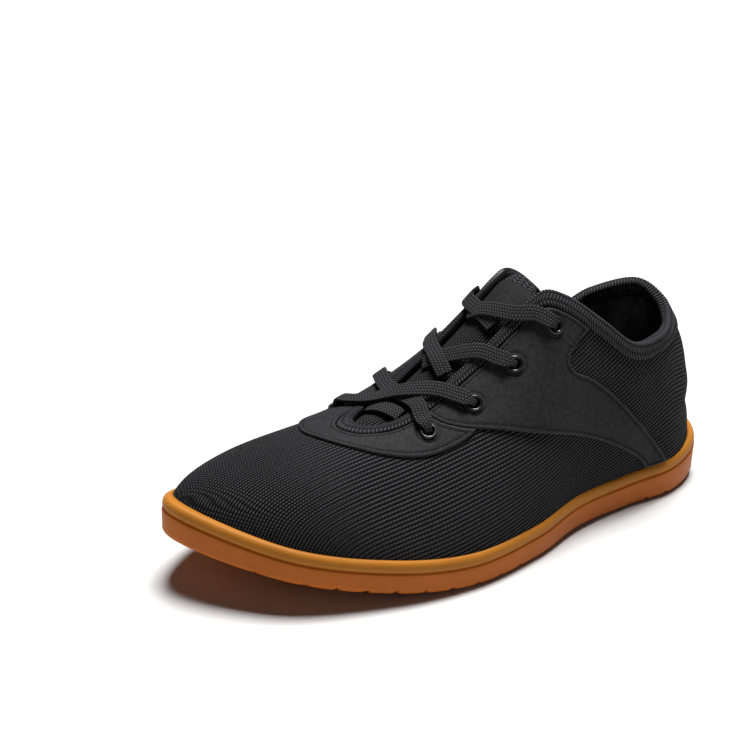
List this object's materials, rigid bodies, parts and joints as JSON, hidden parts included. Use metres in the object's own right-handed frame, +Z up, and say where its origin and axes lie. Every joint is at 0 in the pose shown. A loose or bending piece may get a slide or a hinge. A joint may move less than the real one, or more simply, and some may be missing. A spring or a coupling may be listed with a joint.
{
  "type": "barefoot shoe",
  "caption": "Left lace-up barefoot shoe: black knit upper with matte overlays and metal eyelets on a thin gum rubber cup sole",
  "frame": {"origin": "on the floor, under the middle of the shoe's box", "axes": "the toe points to -Y and the heel to +Y, the outer (little toe) side of this left shoe is +X, +Z is up"},
  "size_m": [0.107, 0.284, 0.1154],
  "materials": {
    "gum": "satin",
    "knit": "matte",
    "microfibre": "matte",
    "binding": "matte",
    "lining": "matte",
    "metal": "gloss",
    "lace": "matte"
  },
  "bodies": {
    "root": {"outsole": "gum", "insole": "lining", "upper": "knit", "opening_band": "binding", "quarter_overlay_outer": "microfibre", "quarter_overlay_inner": "microfibre", "vamp_overlay": "microfibre", "tongue": "knit", "eyelet_outer_1": "metal", "eyelet_inner_1": "metal", "eyelet_outer_2": "metal", "eyelet_inner_2": "metal", "eyelet_outer_3": "metal", "eyelet_inner_3": "metal", "eyelet_outer_4": "metal", "eyelet_inner_4": "metal", "lace_start_bar": "lace", "lace_crossing_1": "lace", "lace_crossing_2": "lace", "lace_crossing_3": "lace"}
  },
  "joints": []
}
